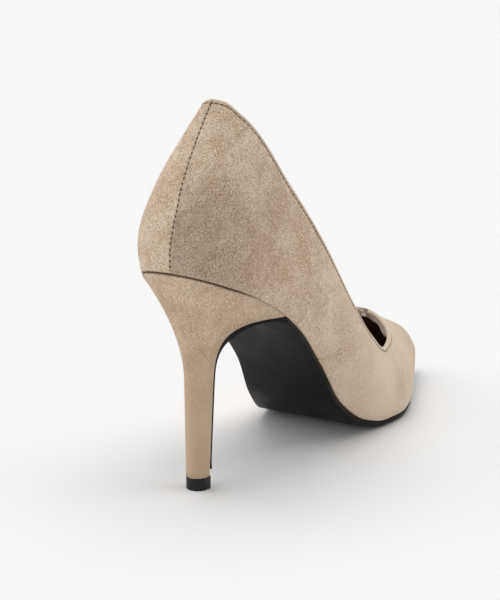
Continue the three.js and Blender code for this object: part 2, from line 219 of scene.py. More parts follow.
def wall_point(side, s, height):
    """A point of the upper's outside. side is -1 on the right and 1 on the left."""
    share = np.minimum(height / crown_at(s), 1)
    full = full_at(s)
    across = (1 - share ** full) ** (1 / full)
    tuck = tuck_at(s) * np.where(side < 0, 1, INNER_TUCK)
    under = clamp01(1 - height / swell_at(s)) ** 2
    half = np.where(side < 0, right_half(s), left_half(s))
    curve = np.where(side < 0, 0, inner_curve_at(s, share))
    y = ((half + tuck) * across - tuck * under + curve) * end_round(s)
    z = feather_height(s) + height
    near_toe = clamp01(1 - (SHOE_LENGTH - s) / (SETBACK_REACH * TOE_ROUND))
    setback = TOE_SETBACK * share ** 2 * near_toe ** 2
    x = s - HEEL_OVERHANG + lean_at(z, s) - setback
    return np.stack(np.broadcast_arrays(x, centre_line(s) + side * y, z), -1)


def feather_point(side, s):
    return wall_point(side, s, 0 * s)


def stem_outline(side, g, z):
    """The stem's outline at height z: flat at the breast, round at the back."""
    flare = (z - HEEL_FOOT) / (HEEL_HEIGHT / 2 - HEEL_FOOT)
    half_width = STEM_WIDTH / 2 + STEM_FLARE * flare
    front = STEM_FRONT + STEM_FRONT_FLARE * flare
    t = clamp01(g / STEM_STRAIGHT)
    turn = clamp01((g - STEM_STRAIGHT) / (1 - STEM_STRAIGHT)) * math.pi / 2
    x = mix(front, 0, t) - (STEM_BACK + STEM_FLARE * flare) * np.sin(turn)
    y = side * half_width * mix(STEM_FRONT_SHARE, 1, smooth(t)) * np.cos(turn)
    return x, y


def flare_share(g, down):
    """How much of the way from the stem out to the seat the heel still is."""
    front = 1 - smooth(g / FLARE_FRONT_END)
    reach, start, power = (mix(a, b, front) for a, b in zip(BACK_FLARE, FRONT_FLARE))
    return (1 - np.minimum(down / reach, 1) ** start) ** power


def heel_point(side, g, down):
    """A point of the heel's outside: g runs from the breast corner to the middle of the back, and
    down from the seat to the foot."""
    s = BREAST_AT * (1 - np.sin(g * math.pi / 2))
    rise = feather_height(s + SLOPE_REACH) - feather_height(s - SLOPE_REACH)
    length = np.hypot(rise, 2 * SLOPE_REACH)
    seat = feather_point(side, s)
    seat_x = seat[..., 0] + GAP * rise / length
    seat_z = seat[..., 2] - GAP * 2 * SLOPE_REACH / length
    z = mix(seat_z, HEEL_FOOT, down)
    stem_x, stem_y = stem_outline(side, g, z)
    share = flare_share(g, down)
    x = mix(stem_x, seat_x, share)
    y = mix(stem_y, seat[..., 1], share)
    return np.stack(np.broadcast_arrays(x, y, z), -1)


# Meshes
def weld(points, faces, nearness=1e-4):
    """Joins vertices that lie in one place and drops the faces that vanish."""
    keys = np.round(points / nearness).astype(np.int64)
    _, first, number = np.unique(keys, axis=0, return_index=True, return_inverse=True)
    number = number.reshape(-1)
    kept = []
    for face in faces:
        corners = []
        for corner in number[list(face)]:
            if not corners or corner != corners[-1]:
                corners.append(int(corner))
        if len(corners) > 2 and corners[0] == corners[-1]:
            corners.pop()
        if len(corners) > 2 and len(set(corners)) == len(corners):
            kept.append(corners)
    return points[first], kept, number


def vertex_normals(points, faces):
    normals = np.zeros_like(points)
    triangles = np.array([(f[0], f[i], f[i + 1]) for f in faces for i in range(1, len(f) - 1)])
    a, b, c = (points[triangles[:, k]] for k in range(3))
    face_normals = np.cross(b - a, c - a)
    for k in range(3):
        np.add.at(normals, triangles[:, k], face_normals)
    return unit(normals)


def unit(vectors):
    return vectors / np.maximum(np.linalg.norm(vectors, axis=-1, keepdims=True), 1e-12)


def grid_faces(columns, rows, closed=False):
    """Faces of a grid of columns x rows vertices, which are stored column by column."""
    faces = []
    for c in range(columns if closed else columns - 1):
        here = c * rows
        there = (c + 1) % columns * rows
        faces += [(here + r, here + r + 1, there + r + 1, there + r) for r in range(rows - 1)]
    return faces


def ring_numbers(count, size, first=0):
    """The numbers of the vertices in count rings of size vertices each."""
    return [[first + ring * size + k for k in range(size)] for ring in range(count)]


def bridge(low_ring, high_ring):
    """Faces between two closed rings of vertices."""
    size = len(low_ring)
    return [(low_ring[k], high_ring[k], high_ring[(k + 1) % size], low_ring[(k + 1) % size])
            for k in range(size)]


def loft(count, size):
    """Faces of a closed solid through count rings of size vertices each."""
    rings = ring_numbers(count, size)
    faces = [rings[0][::-1], rings[-1]]
    for here, there in zip(rings, rings[1:]):
        faces += bridge(here, there)
    return faces


def way_along(path):
    """The way along a path from its first vertex to each one."""
    return np.append(0, np.cumsum(np.linalg.norm(np.diff(path, axis=0), axis=1)))


def add_object(name, data):
    thing = bpy.data.objects.new(name, data)
    bpy.context.scene.collection.objects.link(thing)
    return thing


def make_piece(name, points, faces, material, replaced=()):
    """A piece of the shoe from vertices in millimetres, riding on the shoe's one body."""
    mesh = bpy.data.meshes.new(name)
    mesh.from_pydata((np.asarray(points) * MM).tolist(), [], [tuple(map(int, f)) for f in faces])
    solid = bmesh.new()
    solid.from_mesh(mesh)
    bmesh.ops.recalc_face_normals(solid, faces=solid.faces)
    solid.to_mesh(mesh)
    solid.free()
    mesh.shade_smooth()
    mesh.materials.append(material)
    piece = add_object(name, mesh)
    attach(piece, "root")
    if replaced:
        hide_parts(*replaced)
    return piece


# The upper as a sheet
HEM = 0.9
FOLD_STEPS = 8
THROAT_EASE = 12
EDGE_THROAT = THROAT_AT + HEM


def ridge_height(s):
    return feather_height(s) + crown_at(s)


topline_height = curve_through(
    [place * THROAT_AT for place, _ in TOPLINE] + [THROAT_AT],
    [mix(SIDE_HEIGHT, HEEL_HEIGHT + BACK_HEIGHT, share) for _, share in TOPLINE]
    + [float(ridge_height(THROAT_AT))])


def edge_height(s):
    """Height over the feather line of the edge where the fold starts, HEM inside the topline."""
    place = s * THROAT_AT / EDGE_THROAT
    rise = topline_height(place + SLOPE_REACH) - topline_height(place - SLOPE_REACH)
    slope = rise / (2 * SLOPE_REACH)
    near_throat = smooth(1 - (EDGE_THROAT - s) / THROAT_EASE)
    drop = HEM * np.sqrt(1 + slope ** 2)
    ridge_fall = ridge_height(THROAT_AT) - ridge_height(EDGE_THROAT)
    top = topline_height(place) - mix(drop, ridge_fall, near_throat)
    return np.where(s < EDGE_THROAT, np.minimum(top - feather_height(s), crown_at(s)), crown_at(s))


# Columns of the sheet at fineness 1, and the shares of the back's round that they stand at
BACK_COLUMNS = 15
SEAM_SHARE = 0.18
BACK_SHARES = (0.22, 0.9)
LAST_BACK_SHARES = (0.95, 0.98, 0.995)
BEFORE_THROAT = 11
AFTER_THROAT = 7
STRETCH_COLUMNS = (84, 28, 18, 40)
TOE_COLUMNS = 14


def wall_stations(fineness):
    """How far from the back the sheet's columns are, closer at the seam and the throat."""
    back_columns = int(BACK_COLUMNS * fineness)
    shares = np.concatenate([np.linspace(0, SEAM_SHARE, back_columns),
                             np.linspace(*BACK_SHARES, back_columns), LAST_BACK_SHARES])
    back = BACK_ROUND * (1 - (1 - shares ** BACK_POWER) ** (1 / BACK_POWER))
    toe_start = SHOE_LENGTH - TOE_ROUND
    ends = (BACK_ROUND, EDGE_THROAT - BEFORE_THROAT, EDGE_THROAT, EDGE_THROAT + AFTER_THROAT,
            toe_start)
    stretches = [np.linspace(start, end, int(count * fineness), endpoint=False)
                 for start, end, count in zip(ends, ends[1:], STRETCH_COLUMNS)]
    turns = np.linspace(0, math.pi / 2, int(TOE_COLUMNS * fineness))
    return np.concatenate([back, *stretches, toe_start + TOE_ROUND * np.sin(turns)])


# Each row's way up from the feather line, and down from the edge
FINE_STEPS = 260
LOW_ROWS = (0, 0.08, 0.2, 0.35, 0.55, 0.8, 1.1, 1.6)
NEAR_ROWS = (3.8, 3.2, 2.7, 2.3, 2.0, 1.75, 1.5, 1.25, 1.0, 0.75, 0.5, 0.25, 0)


def wall_column(side, s, middle_rows):
    """Vertices from the feather line up to the edge, and each one's way from the feather line."""
    top = math.asin(min(float(edge_height(s) / crown_at(s)), 1))
    turn = np.linspace(0, top, FINE_STEPS)
    fine = wall_point(side, s, crown_at(s) * np.sin(turn))
    way = way_along(fine)
    middle = np.linspace(LOW_ROWS[-1], way[-1] - NEAR_ROWS[0], middle_rows + 2)[1:-1]
    wanted = np.concatenate([LOW_ROWS, middle, way[-1] - np.array(NEAR_ROWS)])
    height = crown_at(s) * np.sin(np.interp(wanted, way, turn))
    return wall_point(side, s, height), wanted


def nearest_way(points, line, closed):
    """Each point's distance to a line through vertices."""
    start, end = line, np.roll(line, -1, axis=0)
    if not closed:
        start, end = start[:-1], end[:-1]
    span = end - start
    span_square = np.maximum((span ** 2).sum(1), 1e-12)
    best = np.full(len(points), FAR_AWAY)
    for a, d, square in zip(start, span, span_square):
        t = clamp01(((points - a) @ d) / square)
        best = np.minimum(best, np.linalg.norm(points - a - t[:, None] * d, axis=1))
    return best


def wall_sheet(fineness, middle_rows):
    """The upper's outside as one sheet, with the loops of vertices at its edge and its bottom."""
    stations = wall_stations(fineness)
    columns = [(-1, s) for s in stations[::-1]] + [(1, s) for s in stations[1:]]
    built = [wall_column(side, s, middle_rows) for side, s in columns]
    rows = len(built[0][0])
    grid = np.concatenate([points for points, _ in built])
    points, faces, number = weld(grid, grid_faces(len(columns), rows))
    low = np.full(len(points), FAR_AWAY)
    np.minimum.at(low, number, np.concatenate([way for _, way in built]))
    at = lambda column, row: int(number[column * rows + row])
    edge = [at(c, rows - 1) for c, (_, s) in enumerate(columns) if s <= EDGE_THROAT + 1e-6]
    bottom = [at(c, 0) for c in range(len(columns))]
    seam = [at(len(stations) - 1, row) for row in range(rows)]
    return {"points": points, "faces": faces, "normals": vertex_normals(points, faces), "low": low,
            "edge": edge[:-1], "bottom": bottom[:-1], "seam": seam,
            "tree": BVHTree.FromPolygons(points.tolist(), faces)}


# Relief of the suede
BAND_NARROW = 1.2
BAND_WIDE = 1.8
BAND_WIDE_FROM = 24
BAND_WIDE_TO = 5
GROOVE_WIDTH = 0.3
GROOVE_DEPTH = 0.28
BAND_PUFF = 0.14
SEAM_DRIFT = 2.3
SEAM_DRIFT_REACH = 0.6
SEAM_WIDTH = 0.4
SEAM_DEPTH = 0.2
SEAM_STEP = 0.2
SEAM_STEP_REACH = 3.0
TURN_RADIUS = 0.9
TURN_SHADE = 0.5
JOINT_FADE = 0.8
JOINT_FADE_FROM = -4
JOINT_FADE_TO = 24
JOINT_CLOSING = 0.24
JOINT_CLOSING_REACH = 1.5
JOINT_BACK_FROM = 36
JOINT_BACK_TO = 50
# Painted light and shade, kept in the mesh's shade attribute: a painted highlight on the topline
# band, shade on the outer panel by the back seam (partly painted shade, partly the panel's own nap
# tone), and painted shade in the grooves, the back seam and at the turned lower edge.
BAND_LIGHT = 0.3
PANEL_SHADE = 0.32
PANEL_REACH = 62
PANEL_FADE_FROM = 112
PANEL_FADE_TO = 140
GROOVE_SHADE = 0.35
OUTER_SEAM_SHADE = 0.22
INNER_SEAM_SHADE = 0.35
EDGE_SHADE = 0.8
SHADE_FROM = 0.2
EDGE_SHADE_FROM = 0.05

# Soft ridges and troughs where the vamp bends. Each has its side, its points as shares of the
# shoe's length and of the wall's full height there, its half width and how far it stands out.
CREASES = (
    (-1, ((0.620, 0.54), (0.648, 0.40), (0.685, 0.29)), 1.6, 0.90),
    (-1, ((0.607, 0.42), (0.630, 0.29), (0.645, 0.20)), 2.8, -0.70),
    (-1, ((0.645, 0.57), (0.672, 0.46), (0.700, 0.36)), 2.2, -0.60),
    (-1, ((0.690, 0.58), (0.712, 0.47), (0.735, 0.37)), 1.8, 0.50),
    (1, ((0.640, 0.52), (0.665, 0.40), (0.690, 0.27)), 2.0, 0.35),
    (1, ((0.670, 0.56), (0.695, 0.45), (0.715, 0.34)), 2.2, -0.30),
)


def turned_edge(way):
    """How far a surface lies back where it turns round at its end, way millimetres from it."""
    left = np.maximum(TURN_RADIUS - way, 0)
    return TURN_RADIUS - np.sqrt(TURN_RADIUS ** 2 - left ** 2)


def joint_strength(x):
    """How plainly the lower edge shows: fully at the back, faintly over the heel's breast."""
    fading = smooth((x - JOINT_FADE_FROM) / (JOINT_FADE_TO - JOINT_FADE_FROM))
    again = smooth((x - JOINT_BACK_FROM) / (JOINT_BACK_TO - JOINT_BACK_FROM))
    return 1 - JOINT_FADE * fading * (1 - again)


def band_width(x):
    """From the sheet's edge to the stitched groove: narrow on the quarters, wide at the throat."""
    throat = THROAT_AT - HEEL_OVERHANG
    return mix(BAND_NARROW, BAND_WIDE,
               smooth((x - throat + BAND_WIDE_FROM) / (BAND_WIDE_FROM - BAND_WIDE_TO)))


def crease_relief(points):
    relief = np.zeros(len(points))
    for side, line, half_width, height in CREASES:
        places = np.array([place for place, _ in line]) * SHOE_LENGTH
        heights = np.array([share for _, share in line]) * crown_at(places)
        path = wall_point(side, places, heights)
        relief += height * np.exp(-(nearest_way(points, path, False) / half_width) ** 2)
    return relief


def seam_path(sheet):
    """The back seam, which drifts to the outer side low down."""
    line = sheet["points"][sheet["seam"]]
    way = way_along(line)
    share = way / way[-1]
    drifted = line - np.outer(SEAM_DRIFT * (1 - smooth(share / SEAM_DRIFT_REACH)), [0, 1, 0])
    return follow_sheet(sheet, drifted)[0]


def suede_relief(sheet):
    """Height of the suede over the plain form, and its painted shade: dark in the grooves, in the
    back seam and at turned edges, where shade falls; on the outer panel by the back seam partly
    painted shade and partly the panel's own nap tone; and below nothing, a painted highlight, on
    the topline band."""
    points = sheet["points"]
    to_edge = nearest_way(points, points[sheet["edge"]], True)
    seam_line = seam_path(sheet)
    to_seam = nearest_way(points, seam_line, False)
    width = band_width(points[:, 0])
    band = BAND_PUFF * np.sin(math.pi * clamp01(to_edge / width))
    groove = np.exp(-((to_edge - width) / GROOVE_WIDTH) ** 2)
    seam = np.exp(-(to_seam / SEAM_WIDTH) ** 2)
    order = np.argsort(seam_line[:, 2])
    seam_y = np.interp(points[:, 2], seam_line[order, 2], seam_line[order, 1])
    inner = points[:, 1] > seam_y
    behind = points[:, 0] < BACK_ROUND
    step = np.where(inner & behind, SEAM_STEP * (1 - smooth(to_seam / SEAM_STEP_REACH)), 0)
    joint = joint_strength(points[:, 0])
    height = (band - GROOVE_DEPTH * groove - SEAM_DEPTH * seam + step + crease_relief(points)
              - joint * turned_edge(sheet["low"]))
    # On the outer panel by the back seam: partly painted shade, partly the panel's own nap tone. On
    # the topline band: a painted highlight.
    high_up = (points[:, 2] - PANEL_FADE_FROM) / (PANEL_FADE_TO - PANEL_FADE_FROM)
    panel = PANEL_SHADE * (1 - smooth(to_seam / PANEL_REACH)) * (1 - smooth(high_up))
    shade = np.where(inner, 0, panel) - BAND_LIGHT * smooth((width - to_edge) / GROOVE_WIDTH)
    # Painted shade in the topline groove, in the back seam and at the turned lower edge.
    seam_shade = np.where(inner, INNER_SEAM_SHADE, OUTER_SEAM_SHADE) * seam
    low_edge = EDGE_SHADE * joint * np.exp(-(sheet["low"] / TURN_SHADE) ** 2)
    for darker, shown in ((GROOVE_SHADE * groove, groove > SHADE_FROM),
                          (seam_shade, seam > SHADE_FROM), (low_edge, low_edge > EDGE_SHADE_FROM)):
        shade = np.where(shown, np.maximum(shade, darker), shade)
    return height, shade


def follow_sheet(sheet, points):
    """The nearest places on the sheet, with its smooth normals there."""
    places, normals = [], []
    for point in points:
        place, _, face, _ = sheet["tree"].find_nearest(Vector(point))
        corners = sheet["faces"][face]
        away = np.linalg.norm(sheet["points"][corners] - np.array(place), axis=1)
        weights = 1 / (away ** 2 + 1e-6)
        places.append(np.array(place))
        normals.append(weights @ sheet["normals"][corners])
    return np.array(places), unit(np.array(normals))


def fold_frames(points, edge, sheet_normals, inside):
    """At each vertex of the edge, the surface's normal and the way up out of the sheet."""
    loop = points[edge]
    along = unit(np.roll(loop, -1, axis=0) - np.roll(loop, 1, axis=0))
    normal = unit(sheet_normals[edge] - along * (sheet_normals[edge] * along).sum(1, keepdims=True))
    up = np.cross(along, normal)
    return loop, normal, up * np.sign(((loop - inside) * up).sum(1, keepdims=True))


FLAP_LENGTH = 3.3
FLAP_OPEN = 1.5
FLAP_STEPS_DOWN = 4
# A little painted shade on the suede turned in under the topline.
FLAP_SHADE = 0.05
FLAP_BACK_SHARES = (1, 0.1)
UPPER_ROWS = 34
SUEDE_THICKNESS = 0.2


def flap_ring(sheet, loop, up, down, depth):
    """A ring of vertices under the edge: down along the wall and depth in from its outside. Near
    the throat the turned-in edge stands off the wall."""
    places, normals = follow_sheet(sheet, loop - up * down)
    share = (band_width(loop[:, 0:1]) - BAND_NARROW) / (BAND_WIDE - BAND_NARROW)
    return places - normals * (depth + FLAP_OPEN * share * down / FLAP_LENGTH)


def shell_faces(sheet):
    """Faces of the sheet, of a second one that follows it, and of the wall along their bottoms."""
    count = len(sheet["points"])
    faces = list(sheet["faces"]) + [[v + count for v in face[::-1]] for face in sheet["faces"]]
    return faces + bridge([v + count for v in sheet["bottom"]], sheet["bottom"])


def make_upper(material):
    sheet = wall_sheet(1.0, UPPER_ROWS)
    height, shade = suede_relief(sheet)
    points = sheet["points"] + sheet["normals"] * height[:, None]
    count = len(points)
    inner = sheet["points"] - sheet["normals"] * HEM
    below = wall_inside(sheet)
    loop, normal, up = fold_frames(points, sheet["edge"], sheet["normals"], below)
    rings = []
    for step in range(1, FOLD_STEPS + 1):
        turn = math.pi * step / FOLD_STEPS
        rings.append(loop + up * HEM * math.sin(turn) - normal * HEM * (1 - math.cos(turn)))
    for step in range(1, FLAP_STEPS_DOWN + 1):
        rings.append(flap_ring(sheet, loop, up, FLAP_LENGTH * step / FLAP_STEPS_DOWN, 2 * HEM))
    for share in FLAP_BACK_SHARES:
        rings.append(flap_ring(sheet, loop, up, FLAP_LENGTH * share, 2 * HEM - SUEDE_THICKNESS))
    ring_size = len(sheet["edge"])
    faces = shell_faces(sheet)
    chain = [sheet["edge"], *ring_numbers(len(rings), ring_size, 2 * count),
             [v + count for v in sheet["edge"]]]
    for low_ring, high_ring in zip(chain, chain[1:]):
        faces += bridge(low_ring, high_ring)
    upper = make_piece("upper_suede", np.concatenate([points, inner, *rings]), faces, material,
                       ["upper"])
    # The folded rim takes the topline band's painted highlight, and the turned-in flap a little
    # painted shade.
    on_rings = [-BAND_LIGHT] * FOLD_STEPS + [FLAP_SHADE] * (len(rings) - FOLD_STEPS)
    shade_vertices(upper, np.concatenate([shade, np.zeros(count), np.repeat(on_rings, ring_size)]))
    return upper, sheet, (loop, normal, up)


def shade_vertices(piece, shade):
    """Keeps on the mesh how much painted shade darkens each vertex, and below nothing how much
    painted highlight lightens it.
    """
    attribute = piece.data.attributes.new("shade", "FLOAT", "POINT")
    attribute.data.foreach_set("value", np.asarray(shade, np.float32))


def wall_inside(sheet):
    """For each vertex of the edge, the centre of the faces that it belongs to."""
    total = np.zeros_like(sheet["points"])
    share = np.zeros(len(total))
    for face in sheet["faces"]:
        total[face] += sheet["points"][face].mean(0)
        share[face] += 1
    return (total / share[:, None])[sheet["edge"]]


LINING_FACE = 1.55
LINING_BACK = 0.95
LINING_DROP = 1.6
LINING_FINENESS = 0.5
LINING_ROWS = 16


def make_lining(material):
    sheet = wall_sheet(LINING_FINENESS, LINING_ROWS)
    loop, _, up = fold_frames(sheet["points"], sheet["edge"], sheet["normals"], wall_inside(sheet))
    points = sheet["points"].copy()
    points[sheet["edge"]] = follow_sheet(sheet, loop - up * LINING_DROP)[0]
    back = points - sheet["normals"] * LINING_BACK
    face = points - sheet["normals"] * LINING_FACE
    faces = shell_faces(sheet) + bridge(sheet["edge"], [v + len(back) for v in sheet["edge"]])
    return make_piece("upper_lining", np.concatenate([back, face]), faces, material)


def resample(loop, spacing, *others):
    """Evenly spaced points along a closed loop, with other values carried along."""
    way = way_along(np.concatenate([loop, loop[:1]]))
    wanted = np.linspace(0, way[-1], int(way[-1] / spacing), endpoint=False)
    results = []
    for values in (loop, *others):
        ring = np.concatenate([values, values[:1]])
        results.append(np.stack([np.interp(wanted, way, ring[:, k]) for k in range(3)], -1))
    return results


FRAY_SPACING = 0.3
FRAY_SHORT = 0.15
FRAY_LONG = 2.4
FRAY_TUFT = 9
FRAY_START = 1.3
FRAY_JAGGED = 0.55
FRAY_LEAST_STAND = 0.1
FRAY_TUFT_STAND = 0.5
FRAY_LOOSE_STAND = 0.25
FRAY_SEED = 5
# Round the strip: each row's start down the wall, its share of the tuft's length, its depth from
# the flap's face and its share of the tuft's stand-off
FRAY_ROWS = (
    (FRAY_START, 0, 0.03, 0), (FLAP_LENGTH, 0, 0.15, 0.6), (FLAP_LENGTH, 0.6, 0, 1),
    (FLAP_LENGTH, 1, -0.1, 0.6), (FLAP_LENGTH, 0.5, -0.2, 0), (FRAY_START, 0, -0.18, 0),
)


def make_frayed_edge(frames, sheet, material):
    """The trimmed inner edge of the turned-in suede: a strip with tufts along its lower side."""
    loop, up = resample(frames[0], FRAY_SPACING, frames[2])
    random = np.random.default_rng(FRAY_SEED)
    count = len(loop)
    jagged = 1 - FRAY_JAGGED * (1 - random.random(count))
    knots = random.random(count // FRAY_TUFT + 2)
    tufts = np.interp(np.arange(count) / FRAY_TUFT, np.arange(len(knots)), knots) ** 2
    loose = FRAY_LOOSE_STAND * random.random(count)
    length = (FRAY_SHORT + FRAY_LONG * tufts * jagged)[:, None]
    stand = (FRAY_LEAST_STAND + FRAY_TUFT_STAND * tufts + loose)[:, None]
    rows = [flap_ring(sheet, loop, up, start + share * length, 2 * HEM + depth + part * stand)
            for start, share, depth, part in FRAY_ROWS]
    rings = ring_numbers(len(rows), count)
    faces = []
    for here, there in zip(rings, rings[1:] + rings[:1]):
        faces += bridge(here, there)
    return make_piece("frayed_inner_edge", np.concatenate(rows), faces, material)


STITCH_PITCH = 2.3
STITCH_LENGTH = 1.45
STITCH_RADIUS = 0.25
STITCH_RISE = 0.1
STITCH_BEND = 0.2
STITCH_THIN = 0.45
STITCH_SIDES = 6
STITCH_TAPER = (0.6, 1, 1, 1, 0.6)
# A direction that no stitch runs in
NO_STITCH_WAY = (0.3, 0.1, 1.0)


def tube(path, radii, sides):
    """A closed tube along a path, with a radius at each point."""
    points = []
    along = unit(np.gradient(path, axis=0))
    across = unit(np.cross(along, NO_STITCH_WAY))
    other = np.cross(along, across)
    for place, a, b, radius in zip(path, across, other, radii):
        for k in range(sides):
            turn = 2 * math.pi * k / sides
            points.append(place + radius * (a * math.cos(turn) + b * math.sin(turn)))
    return np.array(points), loft(len(path), sides)


def join(parts):
    """One list of points and faces from several."""
    points, faces, first = [], [], 0
    for some_points, some_faces in parts:
        points.append(some_points)
        faces += [[v + first for v in face] for face in some_faces]
        first += len(some_points)
    return np.concatenate(points), faces


def on_surface(tree, point):
    """The nearest point of a piece's surface and the normal there, in millimetres."""
    place, normal, _, _ = tree.find_nearest(Vector(point * MM))
    return np.array(place) / MM, np.array(normal)


def make_topline_stitches(sheet, frames, material):
    loop, up = resample(frames[0], STITCH_PITCH, frames[2])
    width = band_width(loop[:, 0:1])
    middles, surfaces = follow_sheet(sheet, loop - up * width)
    middles = middles + surfaces * (STITCH_RISE - GROOVE_DEPTH)
    thin = 1 - STITCH_THIN * (width - BAND_NARROW) / (BAND_WIDE - BAND_NARROW)
    along = unit(np.roll(middles, -1, axis=0) - np.roll(middles, 1, axis=0))
    parts = []
    for middle, surface, way, share in zip(middles, surfaces, along, thin):
        path = [middle + way * t * STITCH_LENGTH / 2 - surface * STITCH_BEND * t * t
                for t in np.linspace(-1, 1, len(STITCH_TAPER))]
        radii = share * STITCH_RADIUS * np.array(STITCH_TAPER)
        parts.append(tube(np.array(path), radii, STITCH_SIDES))
    points, faces = join(parts)
    return make_piece("topline_stitches", points, faces, material)


HOLE_PITCH = 2.2
HOLE_RADIUS = 0.37
HOLE_START = 3.0
HOLE_TALL = 1.25
HOLE_SIDES = 10
# Each ring's share of the radius, and its height over the suede
HOLE_RINGS = ((1, -0.25), (1, 0.0), (0.75, 0.06), (0.3, 0.09))


def make_seam_holes(upper, sheet, material):
    """The stitch holes down the back seam: small dark domes on the suede, whose dark brown is
    painted shade of the holes.
    """
    tree = BVHTree.FromObject(upper, bpy.context.evaluated_depsgraph_get())
    line = seam_path(sheet)
    way = way_along(line)
    turns = np.linspace(0, 2 * math.pi, HOLE_SIDES, endpoint=False)
    parts = []
    for distance in np.arange(HOLE_START, way[-1] - 1, HOLE_PITCH):
        point = np.array([np.interp(distance, way, line[:, k]) for k in range(3)])
        place, surface = on_surface(tree, point)
        side = unit(np.cross(surface, [0, 0, 1.0]))
        rise = HOLE_TALL * np.cross(surface, side)
        rings = [place + surface * height
                 + HOLE_RADIUS * share * (side * math.cos(t) + rise * math.sin(t))
                 for share, height in HOLE_RINGS for t in turns]
        parts.append((np.array(rings), loft(len(HOLE_RINGS), HOLE_SIDES)))
    points, faces = join(parts)
    return make_piece("back_seam_holes", points, faces, material)


# Heel
HEEL_MERIDIANS = 34
HEEL_LEVELS = 90
HEEL_LEVEL_POWER = 2.4
BREAST_COLUMNS = 6
RAGGED_RISE = 0.3
RAGGED_SEED = 11


def make_heel(material):
    g = np.linspace(0, 1, HEEL_MERIDIANS + 1)
    down = (np.arange(HEEL_LEVELS + 1) / HEEL_LEVELS) ** HEEL_LEVEL_POWER
    right = np.stack([heel_point(-1, place, down) for place in g])
    left = np.stack([heel_point(1, place, down) for place in g[:-1][::-1]])
    shares = np.linspace(0, 1, BREAST_COLUMNS + 2)[1:-1]
    breast = np.stack([mix(left[-1], right[0], share) for share in shares])
    columns = np.concatenate([right, left, breast])
    size, levels = columns.shape[:2]
    way = np.concatenate([way_along(column) for column in columns])
    points = columns.reshape(-1, 3)
    sides = [face[::-1] for face in grid_faces(size, levels, closed=True)]
    normals = vertex_normals(points, sides)
    joint = joint_strength(points[:, 0])
    points = points - normals * (joint * turned_edge(way))[:, None]
    points[:, 2] += JOINT_CLOSING * (1 - joint) * np.exp(-(way / JOINT_CLOSING_REACH) ** 2)
    ragged = RAGGED_RISE * np.random.default_rng(RAGGED_SEED).random(size)
    foot = np.arange(size) * levels + levels - 1
    points[foot, 2] += ragged - GAP
    last = 2 * HEEL_MERIDIANS
    caps = [[m, m + 1, last - m - 1, last - m] for m in range(1, HEEL_MERIDIANS)]
    caps.append([0, 1, last - 1, *range(last, last + BREAST_COLUMNS + 1)])
    faces = list(sides)
    for level in (0, levels - 1):
        faces += [[m * levels + level for m in dict.fromkeys(cap)] for cap in caps]
    heel = make_piece("heel_cover", points, faces, material, ["heel"])
    # Painted shade along the heel cover's top edge, where it turns in against the upper.
    shade_vertices(heel, joint * np.exp(-(way / TURN_SHADE) ** 2))
    return heel


# Sole, insole
SOLE_GAP = 0.05
SOLE_CORNER = 0.4
SOLE_BEVEL = 3.4
SOLE_BEVEL_DEPTH = 1.45
CURVE_FLAP = 2.6
STEM_FLAP = 1.1
CORNER_FLAP = 1.0
FLAP_THIN_AT = 50
FLAP_FULL_AT = 64
FLAP_CORNER_AT = 68.4
STRIP_ACROSS = 8
STRIP_CORNER_STEPS = 4
FLAP_STEPS = 60
FLAP_STEP_POWER = 2.2
FLAP_FLARE = 0.6
FLAP_FLARE_LENGTH = 5
CROWN_WIDTH = 12
LEAST_HALF_WIDTH = 1e-3
LEAST_STEP = 1e-4
CORNER_OF_THICKNESS = 0.48
CORNER_OF_WIDTH = 0.9
SOLE_FINENESS = 0.7


def strip_frame(right, left):
    """At each place along a strip, the way out of its face, and into it from each edge."""
    middle = (right + left) / 2
    along = unit(np.gradient(middle[:, [0, 2]], axis=0))
    tangent = np.stack([along[:, 0], 0 * along[:, 0], along[:, 1]], -1)
    out = np.stack([-along[:, 1], 0 * along[:, 0], along[:, 0]], -1)
    lengths = np.maximum(np.linalg.norm(np.diff(middle, axis=0), axis=1), LEAST_STEP)
    step = np.cumsum(np.append(0, lengths))
    into = []
    for side, edge in ((-1, right), (1, left)):
        slope = np.gradient(edge[:, 1], step)
        length = np.hypot(1, slope)
        across = np.stack([0 * slope, -side / length, 0 * slope], -1)
        into.append(tangent * (side * slope / length)[:, None] + across)
    return out, into[0], into[1]


def inset_strip(right, left, inset):
    """A strip's two edges moved inward, without the ends where they would cross."""
    _, in_right, in_left = strip_frame(right, left)
    right, left = right + in_right * inset, left + in_left * inset
    kept = (left - right)[:, 1] > inset / 2
    return right[kept], left[kept]


